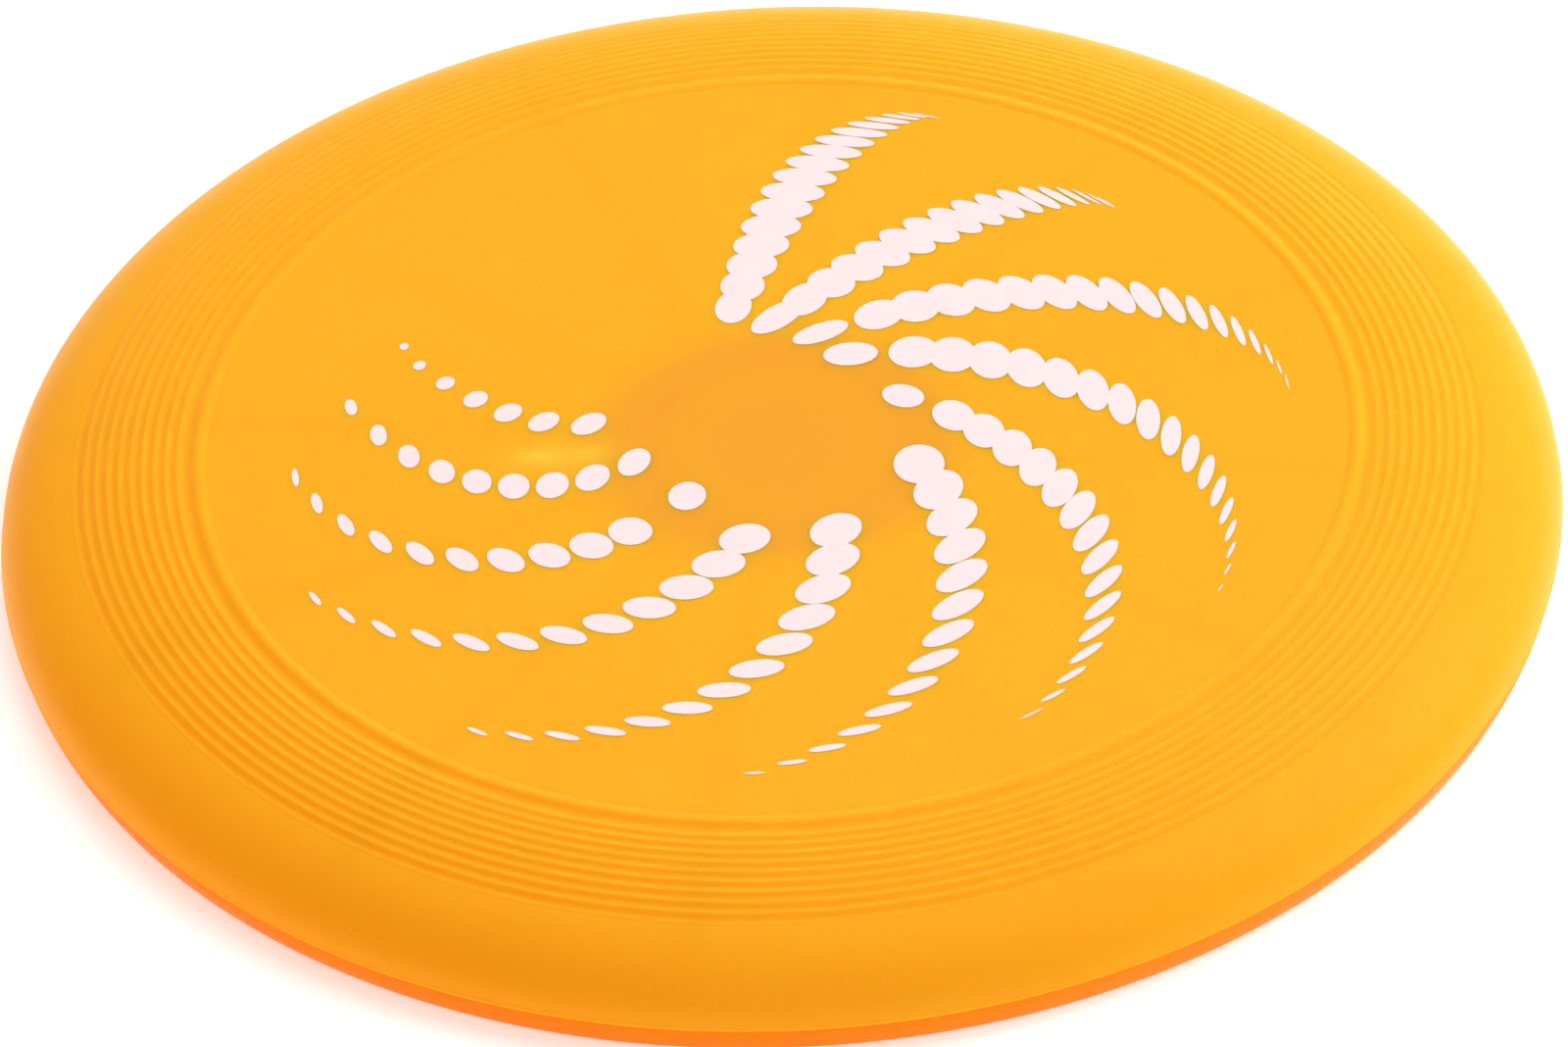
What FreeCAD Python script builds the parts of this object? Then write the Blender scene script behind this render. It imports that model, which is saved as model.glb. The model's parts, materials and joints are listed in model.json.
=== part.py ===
import FreeCAD, Part
import math
import os
import Sketcher

Vector = FreeCAD.Vector

# Light-up flying disc.  Frame: millimetres, +Z up, origin at the centre of the
# circle that the rim rests on.  The twelve light-guide channels lie at
# multiples of 30 degrees from +X.

os.makedirs("parts", exist_ok=True)
doc = FreeCAD.newDocument("flying_disc")
sheet = doc.addObject("Spreadsheet::Sheet", "Sizes")

CELLS = [
    # disc moulding
    ("disc_radius", 115.0), ("plate_top", 19.6), ("plate_thickness", 2.1),
    ("crease_height", 4.94), ("bead_inner", 83.9), ("bead_outer", 86.2),
    ("bead_height", 0.32), ("ring_first", 88.32), ("ring_pitch", 1.7297),
    ("ring_count", 10), ("ring_depth", 0.35), ("ring_halfwidth", 0.52),
    ("shoulder_slope", 0.0512), ("shoulder_curve", 0.011357),
    ("rim_inner_radius", 110.2),
    # light-guide channels under the plate
    ("guide_count", 12), ("rib_width", 3.6), ("rib_bottom", 15.2),
    ("channel_width", 1.6), ("guide_radius", 0.75), ("guide_height", 16.55),
    ("guide_inner", 5.0), ("guide_bend_start", 83.0), ("guide_bend_radius", 59.55),
    ("guide_outer", 107.0),
    # bosses and screws
    ("boss_pitch_radius", 20.5), ("boss_radius", 2.6), ("boss_bottom", 15.0),
    ("pilot_radius", 1.05), ("pilot_top", 17.0), ("screw_radius", 1.0),
    ("screw_clear_radius", 1.15), ("screw_top", 16.8),
    ("head_radius", 1.9), ("head_bottom", 6.55), ("head_top", 7.75),
    ("counterbore_radius", 2.1), ("counterbore_top", 7.8),
    # hub housing
    ("hub_radius", 26.6), ("hub_inner", 24.7), ("housing_bottom", 8.62),
    ("deck_bottom", 14.2), ("deck_top", 15.4), ("deck_hole", 4.8),
    ("socket_radius", 2.65), ("post_radius", 2.5), ("post_bottom", 9.02),
    ("shoulder_radius", 3.4), ("notch_width", 1.7), ("notch_bottom", 15.7),
    ("gasket_inner", 25.25), ("gasket_outer", 26.1), ("gasket_top", 9.3),
    # hub cover
    ("cover_bottom", 6.5), ("cover_floor", 8.0), ("cover_rim_top", 8.6),
    ("collar_radius", 6.8), ("collar_top", 9.15), ("button_bore", 4.6),
    ("flange_bore", 5.65), ("flange_seat", 7.3), ("cover_boss_top", 9.0),
    ("peg_radius", 0.8), ("peg_top", 9.55),
    # push button and its retainer
    ("button_radius", 4.5), ("button_face", 5.75), ("flange_radius", 5.5),
    ("flange_top", 7.9), ("stem_radius", 1.4), ("stem_top", 8.3),
    ("retainer_inner", 2.2), ("retainer_bottom", 8.65),
    # circuit board and its parts
    ("board_radius", 24.3), ("board_bottom", 12.1), ("board_top", 13.1),
    ("board_hole", 2.7), ("switch_side", 6.0), ("switch_bottom", 9.6),
    ("plunger_radius", 1.5), ("plunger_bottom", 8.62), ("plunger_top", 9.9),
    ("led_top", 13.9), ("chip_top", 14.0),
    # light cone and guide collar
    ("cone_radius", 4.6), ("cone_bottom", 14.0), ("cone_top", 17.35),
    ("guide_collar_radius", 9.0), ("guide_collar_top", 17.4),
    # batteries and their tray
    ("cell_radius", 10.0), ("cell_bottom", 9.6), ("cell_top", 11.2),
    ("cell_offset", 13.9), ("tray_radius", 24.4), ("tray_bottom", 9.5),
    ("pocket_radius", 10.15), ("pocket_top", 11.35),
    # printed ink
    ("ink_thickness", 0.06),
]
for row, (alias, number) in enumerate(CELLS, start=1):
    sheet.set("A%d" % row, alias)
    sheet.set("B%d" % row, str(number))
    sheet.setAlias("B%d" % row, alias)
doc.recompute()
NUMBER = dict(CELLS)


class Dim:
    """A size with the expression that binds it to the sheet."""

    def __init__(self, value, text):
        self.value = float(value)
        self.text = text

    def _other(self, other):
        return other if isinstance(other, Dim) else Dim(other, "%.6g" % other)

    def __add__(self, other):
        other = self._other(other)
        return Dim(self.value + other.value, "(%s + %s)" % (self.text, other.text))

    __radd__ = __add__

    def __sub__(self, other):
        other = self._other(other)
        return Dim(self.value - other.value, "(%s - %s)" % (self.text, other.text))

    def __rsub__(self, other):
        return self._other(other) - self

    def __mul__(self, other):
        other = self._other(other)
        return Dim(self.value * other.value, "(%s * %s)" % (self.text, other.text))

    __rmul__ = __mul__

    def __truediv__(self, other):
        other = self._other(other)
        return Dim(self.value / other.value, "(%s / %s)" % (self.text, other.text))

    def __neg__(self):
        return Dim(-self.value, "(0 - %s)" % self.text)


def size(alias):
    return Dim(NUMBER[alias], "Sizes." + alias)


def plain(value):
    return Dim(value, "%.6g" % value)


NODES = []


def keep(obj, label):
    obj.Label = label
    NODES.append(obj)
    return obj


def bind(obj, prop, dim):
    dim = dim if isinstance(dim, Dim) else plain(dim)
    obj.setExpression(prop, dim.text)


# ---------------------------------------------------------------- PartDesign
def new_body(label):
    body = doc.addObject("PartDesign::Body", label + "_body")
    return keep(body, label)


def origin_feature(body, role):
    for feature in body.Origin.OriginFeatures:
        if feature.Role == role:
            return feature
    raise RuntimeError("no origin feature " + role)


def new_sketch(body, name, role, height=None):
    sketch = body.newObject("Sketcher::SketchObject", name)
    sketch.AttachmentSupport = [(origin_feature(body, role), "")]
    sketch.MapMode = "FlatFace"
    if height is not None:
        bind(sketch, "AttachmentOffset.Base.z", height)
        sketch.AttachmentOffset = FreeCAD.Placement(
            Vector(0, 0, height.value), FreeCAD.Rotation())
    return sketch


def pin_point(sketch, geo, pos, x, y):
    for kind, axis, dim in (("DistanceX", -2, x), ("DistanceY", -1, y)):
        dim = dim if isinstance(dim, Dim) else plain(dim)
        if abs(dim.value) < 1e-9:
            sketch.addConstraint(Sketcher.Constraint("PointOnObject", geo, pos, axis))
        else:
            index = sketch.addConstraint(
                Sketcher.Constraint(kind, -1, 1, geo, pos, dim.value))
            sketch.setExpression("Constraints[%d]" % index, dim.text)


def draw_loop(sketch, points):
    """A closed outline of straight edges whose corners are all bound."""
    first = sketch.GeometryCount
    count = len(points)
    values = [tuple(p.value if isinstance(p, Dim) else float(p) for p in pt)
              for pt in points]
    lines = [Part.LineSegment(Vector(values[i][0], values[i][1], 0),
                              Vector(values[(i + 1) % count][0],
                                     values[(i + 1) % count][1], 0))
             for i in range(count)]
    sketch.addGeometry(lines, False)
    for i in range(count):
        sketch.addConstraint(Sketcher.Constraint(
            "Coincident", first + i, 2, first + (i + 1) % count, 1))
    for i in range(count):
        pin_point(sketch, first + i, 1, points[i][0], points[i][1])


def draw_circle(sketch, x, y, radius):
    value = [p.value if isinstance(p, Dim) else float(p) for p in (x, y, radius)]
    geo = sketch.addGeometry(
        Part.Circle(Vector(value[0], value[1], 0), Vector(0, 0, 1), value[2]), False)
    pin_point(sketch, geo, 3, x, y)
    radius = radius if isinstance(radius, Dim) else plain(radius)
    index = sketch.addConstraint(Sketcher.Constraint("Radius", geo, radius.value))
    sketch.setExpression("Constraints[%d]" % index, radius.text)


def revolve(body, name, sketch, cut=False):
    kind = "PartDesign::Groove" if cut else "PartDesign::Revolution"
    feature = body.newObject(kind, name)
    feature.Profile = sketch
    feature.ReferenceAxis = (sketch, ["V_Axis"])
    feature.Angle = 360
    body.Tip = feature
    return feature


def extrude(body, name, sketch, length, cut=False, symmetric=False, reverse=False):
    kind = "PartDesign::Pocket" if cut else "PartDesign::Pad"
    feature = body.newObject(kind, name)
    feature.Profile = sketch
    feature.Type = "Length"
    feature.Length = length.value
    bind(feature, "Length", length)
    feature.Midplane = symmetric
    feature.Reversed = reverse
    body.Tip = feature
    return feature


def polar(body, name, feature, count):
    pattern = body.newObject("PartDesign::PolarPattern", name)
    pattern.Originals = [feature]
    pattern.Axis = (origin_feature(body, "Z_Axis"), [""])
    pattern.Angle = 360
    pattern.Occurrences = int(count.value)
    bind(pattern, "Occurrences", count)
    body.Tip = pattern
    return pattern


def cut_check(body, name, before):
    """The body must have lost material, which proves a cut's direction."""
    doc.recompute()
    after = body.Shape.Volume
    if not after < before - 1e-3:
        raise RuntimeError("%s removed nothing" % name)
    return after


# ------------------------------------------------------------ Part primitives
def cylinder(name, radius, bottom, top, x=0.0, y=0.0):
    obj = doc.addObject("Part::Cylinder", name)
    bind(obj, "Radius", radius)
    bind(obj, "Height", top - bottom)
    bind(obj, "Placement.Base.x", x)
    bind(obj, "Placement.Base.y", y)
    bind(obj, "Placement.Base.z", bottom)
    return obj


def box(name, xs, ys, bottom, top, x=0.0, y=0.0):
    obj = doc.addObject("Part::Box", name)
    xs = xs if isinstance(xs, Dim) else plain(xs)
    ys = ys if isinstance(ys, Dim) else plain(ys)
    x = x if isinstance(x, Dim) else plain(x)
    y = y if isinstance(y, Dim) else plain(y)
    bind(obj, "Length", xs)
    bind(obj, "Width", ys)
    bind(obj, "Height", top - bottom)
    bind(obj, "Placement.Base.x", x - xs / 2)
    bind(obj, "Placement.Base.y", y - ys / 2)
    bind(obj, "Placement.Base.z", bottom)
    return obj


def cut(name, base, tool):
    obj = doc.addObject("Part::Cut", name)
    obj.Base = base
    obj.Tool = tool
    return obj


def fuse(name, shapes):
    obj = doc.addObject("Part::MultiFuse", name)
    obj.Shapes = shapes
    return obj


def group(name, links):
    obj = doc.addObject("Part::Compound", name)
    obj.Links = links
    return obj


def ring_spots(radius, start, count):
    """Points on a circle: (x, y) as dims, start and step in degrees."""
    spots = []
    for k in range(count):
        angle = math.radians(start + 360.0 * k / count)
        spots.append((radius * round(math.cos(angle), 9),
                      radius * round(math.sin(angle), 9)))
    return spots


SCREW_SPOTS = ring_spots(size("boss_pitch_radius"), 45.0, 4)

# ================================================================ disc_shell
# One moulding: flat plate, raised bead, ten flight rings on a falling
# shoulder, rolled rim with a crease at its widest line, and on the underside
# twelve channelled ribs and four screw bosses.
top = size("plate_top")
under = size("plate_top") - size("plate_thickness")
first = size("ring_first")
pitch = size("ring_pitch")


def crest(k):
    """Height of the k-th flight ring's crest."""
    run = pitch * float(k)
    return top - 0.15 - size("shoulder_slope") * run - size("shoulder_curve") * run * run


shell = new_body("disc_shell")
sk = new_sketch(shell, "disc_profile", "XZ_Plane")
edge = size("disc_radius")
inner = size("rim_inner_radius")
outline = [
    (0.0, under), (0.0, top),
    (size("bead_inner"), top),
    (size("bead_inner") + 0.45, top + size("bead_height") * 0.8),
    (size("bead_inner") / 2 + size("bead_outer") / 2, top + size("bead_height")),
    (size("bead_outer") - 0.45, top + size("bead_height") * 0.8),
    (size("bead_outer"), top - 0.1),
    (size("bead_outer") + 0.55, top - 0.55),
    (size("bead_outer") + 1.25, top - 0.55),
]
for k in range(int(NUMBER["ring_count"])):
    outline.append((first + pitch * float(k), crest(k)))
outline += [
    (edge - 8.26, size("crease_height") + 10.22),
    (edge - 5.94, size("crease_height") + 9.14),
    (edge - 4.10, size("crease_height") + 7.82),
    (edge - 2.68, size("crease_height") + 6.36),
    (edge - 1.63, size("crease_height") + 4.85),
    (edge - 0.89, size("crease_height") + 3.40),
    (edge - 0.42, size("crease_height") + 2.08),
    (edge - 0.14, size("crease_height") + 1.01),
    (edge - 0.02, size("crease_height") + 0.28),
    (edge, size("crease_height")),
    (edge - 0.30, size("crease_height") - 0.28),
    (edge - 0.32, size("crease_height") - 1.56),
    (edge - 0.50, size("crease_height") - 2.27),
    (edge - 0.80, size("crease_height") - 3.20),
    (edge - 1.27, size("crease_height") - 3.98),
    (edge - 1.60, plain(0.35)),
    (edge - 2.15, plain(0.0)),
    (inner + 0.75, plain(0.0)),
    (inner + 0.05, plain(0.35)),
    (inner - 0.25, plain(1.1)),
    (inner - 0.05, plain(2.4)),
    (inner, plain(5.0)),
    (inner - 0.2, plain(7.8)),
    (inner - 1.0, plain(9.9)),
    (inner - 2.7, plain(11.6)),
    (inner - 5.2, plain(13.0)),
    (inner - 8.2, plain(14.15)),
    (inner - 12.2, plain(15.45)),
    (inner - 16.2, plain(16.45)),
    (inner - 20.2, under - 0.4),
    (inner - 24.2, under),
]
draw_loop(sk, outline)
revolve(shell, "disc_revolution", sk)
doc.recompute()
volume = shell.Shape.Volume

# flight rings: round-bottomed grooves between the crests
sk = new_sketch(shell, "ring_grooves", "XZ_Plane")
depth = size("ring_depth")
half = size("ring_halfwidth")
for k in range(1, int(NUMBER["ring_count"])):
    centre = first + pitch * (k - 0.5)
    drop = (crest(k) - crest(k - 1)) / pitch
    mid = (crest(k) + crest(k - 1)) / 2
    draw_loop(sk, [
        (centre - half, mid - drop * half + 0.02),
        (centre - half * 0.45, mid - drop * half * 0.45 - depth * 0.8),
        (centre, mid - depth),
        (centre + half * 0.45, mid + drop * half * 0.45 - depth * 0.8),
        (centre + half, mid + drop * half + 0.02),
        (centre, mid + 0.3),
    ])
revolve(shell, "ring_cut", sk, cut=True)
volume = cut_check(shell, "ring_cut", volume)

# ribs, from just outside the hub to the inside of the rim
sk = new_sketch(shell, "rib_profile", "XZ_Plane")
start = size("hub_radius") + 0.4
rib = size("rib_bottom")
draw_loop(sk, [
    (start, rib), (size("guide_bend_start") + 3, rib),
    (plain(90.0), rib - 0.35), (plain(94.0), rib - 1.0), (plain(98.0), rib - 1.95),
    (plain(102.0), rib - 3.2), (plain(105.0), rib - 4.3), (plain(107.4), rib - 5.6),
    (plain(108.6), rib - 3.8), (plain(107.9), rib - 2.8), (plain(105.0), rib - 1.4),
    (plain(102.0), rib - 0.25), (plain(98.0), rib + 1.05), (plain(94.0), rib + 2.05),
    (plain(90.0), rib + 2.7), (plain(86.0), rib + 3.1), (start, rib + 3.1),
])
rib_pad = extrude(shell, "rib_pad", sk, size("rib_width"), symmetric=True)
polar(shell, "rib_ring", rib_pad, size("guide_count"))
doc.recompute()
volume = shell.Shape.Volume

# channels, open downwards, that hold the light guides
gx = size("guide_bend_start")
gr = size("guide_bend_radius")
gz = size("guide_height")


def guide_height_at(radius):
    """Height of a light guide's centre line at a distance from the axis."""
    run = radius - gx.value
    if run <= 0:
        return gz.value
    return gz.value - (gr.value - math.sqrt(gr.value ** 2 - run ** 2))


sk = new_sketch(shell, "channel_profile", "XZ_Plane")
roof = [(plain(r), plain(guide_height_at(r) + 0.80 +
                         0.75 * (1.0 / math.sqrt(1 - ((r - gx.value) / gr.value) ** 2) - 1.0)))
        for r in (86.0, 89.0, 92.0, 95.0, 98.0, 101.0, 104.0, 106.0, 107.3)]
draw_loop(sk, [(size("hub_radius") - 0.6, plain(6.0)),
               (size("hub_radius") - 0.6, gz + 0.80), (gx, gz + 0.80)] + roof +
          [(plain(107.3), plain(6.0))])
channel = extrude(shell, "channel_cut", sk, size("channel_width"), cut=True,
                  symmetric=True)
polar(shell, "channel_ring", channel, size("guide_count"))
volume = cut_check(shell, "channel_ring", volume)

# four screw bosses under the plate
sk = new_sketch(shell, "boss_circles", "XY_Plane", size("boss_bottom"))
for x, y in SCREW_SPOTS:
    draw_circle(sk, x, y, size("boss_radius"))
extrude(shell, "boss_pad", sk, under - size("boss_bottom") + 0.3)
doc.recompute()
volume = shell.Shape.Volume
sk = new_sketch(shell, "pilot_circles", "XY_Plane", size("boss_bottom"))
for x, y in SCREW_SPOTS:
    draw_circle(sk, x, y, size("pilot_radius"))
extrude(shell, "pilot_holes", sk, size("pilot_top") - size("boss_bottom"), cut=True,
        reverse=True)
volume = cut_check(shell, "pilot_holes", volume)

# ============================================================== light_guides
# Twelve plastic optical fibres: straight under the plate, then one large bend
# down under the shoulder.
path_end = size("guide_outer")
run = path_end.value - gx.value
turn_angle = math.degrees(math.asin(run / gr.value))
guide_radius = size("guide_radius").value
straight = Part.makeCylinder(guide_radius, gx.value - size("guide_inner").value,
                             Vector(size("guide_inner").value, 0, gz.value),
                             Vector(1, 0, 0))
bend = Part.makeTorus(gr.value, guide_radius, Vector(0, 0, 0), Vector(0, 0, 1),
                      -180, 180, turn_angle)
# the torus starts at +X and turns about +Z: stand it up so that it starts at
# the top of its circle and falls towards +X
bend.rotate(Vector(0, 0, 0), Vector(0, 0, 1), 90.0 - turn_angle)
bend.rotate(Vector(0, 0, 0), Vector(1, 0, 0), 90.0)
bend.translate(Vector(gx.value, 0, gz.value - gr.value))
fibre = straight.fuse(bend)
expected = math.pi * guide_radius ** 2 * (
    gx.value - size("guide_inner").value + gr.value * math.radians(turn_angle))
if abs(fibre.Volume - expected) > 0.02 * expected:
    raise RuntimeError("light guide volume is wrong")
fibres = []
for k in range(int(NUMBER["guide_count"])):
    one = fibre.copy()
    one.rotate(Vector(0, 0, 0), Vector(0, 0, 1), 360.0 * k / NUMBER["guide_count"])
    fibres.append(one)
guides = doc.addObject("Part::Feature", "light_guides")
guides.Shape = Part.makeCompound(fibres)
keep(guides, "light_guides")

# ======================================================= light_guide_collar
# Ring on the housing deck that holds the guides' inner ends round the cone.
collar_body = cylinder("collar_outside", size("guide_collar_radius"),
                       size("deck_top"), size("guide_collar_top"))
collar_bore = cylinder("collar_bore", size("cone_radius") + 0.15,
                       size("deck_top") - 1.0, size("guide_collar_top") + 1.0)
collar_step = cylinder("collar_step", size("cone_radius") + 1.4,
                       size("deck_top") - 1.0, size("deck_top") + 0.4)
collar_holes = []
for k in range(6):
    hole = doc.addObject("Part::Cylinder", "collar_hole")
    bind(hole, "Radius", size("guide_radius") + 0.04)
    hole.Height = 24.0
    hole.Placement = FreeCAD.Placement(
        Vector(0, 0, gz.value),
        FreeCAD.Rotation(Vector(0, 0, 1), 30.0 * k).multiply(
            FreeCAD.Rotation(Vector(0, 1, 0), 90)))
    shift = hole.Placement.Rotation.multVec(Vector(0, 0, -12))
    hole.Placement = FreeCAD.Placement(
        Vector(shift.x, shift.y, gz.value), hole.Placement.Rotation)
    collar_holes.append(hole)
keep(cut("guide_collar", collar_body,
         fuse("collar_tools", [collar_bore, collar_step] + collar_holes)),
     "light_guide_collar")

# ================================================================ light_cone
# Clear turned piece: light from the LED is thrown sideways by its top cone.
cone = new_body("light_cone")
sk = new_sketch(cone, "cone_profile", "XZ_Plane")
draw_loop(sk, [
    (0.0, size("cone_bottom")), (size("cone_radius"), size("cone_bottom")),
    (size("cone_radius"), size("deck_top")),
    (size("cone_radius") + 1.3, size("deck_top")),
    (size("cone_radius") + 1.3, size("deck_top") + 0.35),
    (size("cone_radius"), size("deck_top") + 0.35),
    (size("cone_radius"), size("cone_top")),
    (size("cone_radius") - 0.6, size("cone_top")),
    (0.0, size("cone_bottom") + 0.9),
])
revolve(cone, "cone_revolution", sk)

# =============================================================== hub_housing
housing = new_body("hub_housing")
sk = new_sketch(housing, "housing_profile", "XZ_Plane")
draw_loop(sk, [
    (size("deck_hole"), size("deck_bottom")), (size("hub_inner"), size("deck_bottom")),
    (size("hub_inner"), size("housing_bottom")),
    (size("gasket_inner"), size("housing_bottom")),
    (size("gasket_inner"), size("gasket_top")),
    (size("gasket_outer"), size("gasket_top")),
    (size("gasket_outer"), size("housing_bottom")),
    (size("hub_radius"), size("housing_bottom")),
    (size("hub_radius"), under),
    (size("hub_inner"), under),
    (size("hub_inner"), size("deck_top")), (size("deck_hole"), size("deck_top")),
])
revolve(housing, "housing_revolution", sk)
sk = new_sketch(housing, "shoulder_circles", "XY_Plane", size("board_top"))
for x, y in SCREW_SPOTS:
    draw_circle(sk, x, y, size("shoulder_radius"))
extrude(housing, "shoulder_pads", sk, size("deck_bottom") - size("board_top") + 0.4)
sk = new_sketch(housing, "post_circles", "XY_Plane", size("post_bottom"))
for x, y in SCREW_SPOTS:
    draw_circle(sk, x, y, size("post_radius"))
extrude(housing, "post_pads", sk, size("deck_bottom") - size("post_bottom") + 0.4)
doc.recompute()
volume = housing.Shape.Volume
sk = new_sketch(housing, "socket_circles", "XY_Plane", size("boss_bottom"))
for x, y in SCREW_SPOTS:
    draw_circle(sk, x, y, size("socket_radius"))
extrude(housing, "sockets", sk, plain(2.0), cut=True, reverse=True)
volume = cut_check(housing, "sockets", volume)
sk = new_sketch(housing, "post_bores", "XY_Plane", size("post_bottom") - 0.5)
for x, y in SCREW_SPOTS:
    draw_circle(sk, x, y, size("pilot_radius"))
extrude(housing, "post_bore_cut", sk, plain(8.0), cut=True, reverse=True)
volume = cut_check(housing, "post_bore_cut", volume)
sk = new_sketch(housing, "notch_profile", "XZ_Plane")
draw_loop(sk, [
    (size("hub_inner") - 0.5, size("notch_bottom")),
    (size("hub_radius") + 0.5, size("notch_bottom")),
    (size("hub_radius") + 0.5, under + 0.5), (size("hub_inner") - 0.5, under + 0.5),
])
notch = extrude(housing, "notch_cut", sk, size("notch_width"), cut=True, symmetric=True)
polar(housing, "notch_ring", notch, size("guide_count"))
volume = cut_check(housing, "notch_ring", volume)

# ================================================================ hub_gasket
keep(cut("gasket_ring",
         cylinder("gasket_outside", size("gasket_outer"), size("housing_bottom"),
                  size("gasket_top")),
         cylinder("gasket_hole", size("gasket_inner"), size("housing_bottom") - 1.0,
                  size("gasket_top") + 1.0)), "hub_gasket")

# ============================================================= circuit_board
board_holes = [cylinder("board_hole", size("board_hole"), size("board_bottom") - 1.0,
                        size("board_top") + 1.0, x, y) for x, y in SCREW_SPOTS]
keep(cut("board_disc",
         cylinder("board_blank", size("board_radius"), size("board_bottom"),
                  size("board_top")),
         fuse("board_tools", board_holes)), "circuit_board")

# ======================================================================= led
led = new_body("led")
sk = new_sketch(led, "led_base", "XY_Plane", size("board_top"))
draw_loop(sk, [(-1.75, -1.4), (1.75, -1.4), (1.75, 1.4), (-1.75, 1.4)])
extrude(led, "led_pad", sk, size("led_top") - size("board_top"))
doc.recompute()
volume = led.Shape.Volume
sk = new_sketch(led, "led_window", "XY_Plane", size("led_top"))
draw_circle(sk, 0.0, 0.0, plain(1.15))
extrude(led, "led_window_cut", sk, plain(0.3), cut=True)
volume = cut_check(led, "led_window_cut", volume)

# =========================================================== controller_chip
# Small-outline package with eight legs.
chip_parts = [box("chip_case", 4.9, 3.9, size("board_top") + 0.1, size("chip_top"),
                  10.5, 5.5)]
for side in (-1, 1):
    for k in range(4):
        chip_parts.append(box("chip_leg", 0.4, 1.3, size("board_top"),
                              size("board_top") + 0.35,
                              10.5 - 1.905 + 1.27 * k, 5.5 + side * 2.5))
keep(fuse("chip_fuse", chip_parts), "controller_chip")

# ============================================================= chip_resistors
keep(group("resistor_group", [
    box("resistor_one", 2.0, 1.25, size("board_top"), size("board_top") + 0.5, 6.0, 9.5),
    box("resistor_two", 2.0, 1.25, size("board_top"), size("board_top") + 0.5, 6.0, 12.5),
    box("resistor_three", 2.0, 1.25, size("board_top"), size("board_top") + 0.5, -6.0, 9.5),
]), "chip_resistors")

# ============================================================= chip_capacitor
keep(box("capacitor", 3.2, 1.6, size("board_top"), size("board_top") + 1.0, 13.0, -2.5),
     "chip_capacitor")

# ============================================================== battery_tray
tray_tools = [
    cylinder("pocket_right", size("pocket_radius"), size("tray_bottom") - 1.0,
             size("pocket_top"), size("cell_offset")),
    cylinder("pocket_left", size("pocket_radius"), size("tray_bottom") - 1.0,
             size("pocket_top"), -size("cell_offset")),
    box("window_right", 13.0, 6.0, size("tray_bottom"), size("board_bottom") + 1.0,
        size("cell_offset")),
    box("window_left", 13.0, 6.0, size("tray_bottom"), size("board_bottom") + 1.0,
        -size("cell_offset")),
    box("switch_opening", size("switch_side") + 0.8, size("switch_side") + 0.8,
        size("tray_bottom") - 1.0, size("board_bottom") + 1.0),
]
for x, y in SCREW_SPOTS:
    tray_tools.append(cylinder("tray_hole", size("board_hole"),
                               size("tray_bottom") - 1.0, size("board_bottom") + 1.0, x, y))
keep(cut("tray_cut",
         cylinder("tray_blank", size("tray_radius"), size("tray_bottom"),
                  size("board_bottom")),
         fuse("tray_tools", tray_tools)), "battery_tray")

# ================================================================ coin cells
# Two flat 20 mm cells side by side.  The right one has its can side down, the
# left one is turned over, so the bridge plate joins them in series.
def cell_pieces(tag, x, flipped):
    low, high = size("cell_bottom"), size("cell_top")
    radius = size("cell_radius")
    if flipped:
        rim, floor = low + 0.1, low + 0.5
        blank = cylinder(tag + "_blank", radius, rim, high, x)
        recess = cylinder(tag + "_recess", radius - 0.6, low - 1.0, floor, x)
        cap = cylinder(tag + "_cap", radius - 1.3, low, floor, x)
        ring_out = cylinder(tag + "_ring_out", radius - 0.6, rim, floor, x)
        ring_in = cylinder(tag + "_ring_in", radius - 1.3, low - 1.0, high, x)
    else:
        rim, floor = high - 0.1, high - 0.5
        blank = cylinder(tag + "_blank", radius, low, rim, x)
        recess = cylinder(tag + "_recess", radius - 0.6, floor, high + 1.0, x)
        cap = cylinder(tag + "_cap", radius - 1.3, floor, high, x)
        ring_out = cylinder(tag + "_ring_out", radius - 0.6, floor, rim, x)
        ring_in = cylinder(tag + "_ring_in", radius - 1.3, low, high + 1.0, x)
    return (cut(tag + "_can", blank, recess), cap,
            cut(tag + "_seal", ring_out, ring_in))


right_cell = cell_pieces("right", size("cell_offset"), False)
left_cell = cell_pieces("left", -size("cell_offset"), True)
keep(group("can_group", [right_cell[0], left_cell[0]]), "coin_cell_cans")
keep(group("cap_group", [right_cell[1], left_cell[1]]), "coin_cell_caps")
keep(group("seal_group", [right_cell[2], left_cell[2]]), "coin_cell_seals")


# ===================================================== board_contact_springs
# Leaf springs soldered to the board, reaching down through the tray windows.
def strip(name, points, width, turn):
    """A bent strip: its outline in the XZ plane, extruded along Y."""
    wire = Part.makePolygon([Vector(x, 0, z) for x, z in points + points[:1]])
    shape = Part.Face(wire).extrude(Vector(0, width, 0))
    shape.translate(Vector(0, -width / 2, 0))
    shape.rotate(Vector(0, 0, 0), Vector(0, 0, 1), turn)
    obj = doc.addObject("Part::Feature", name)
    obj.Shape = shape
    return obj


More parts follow.
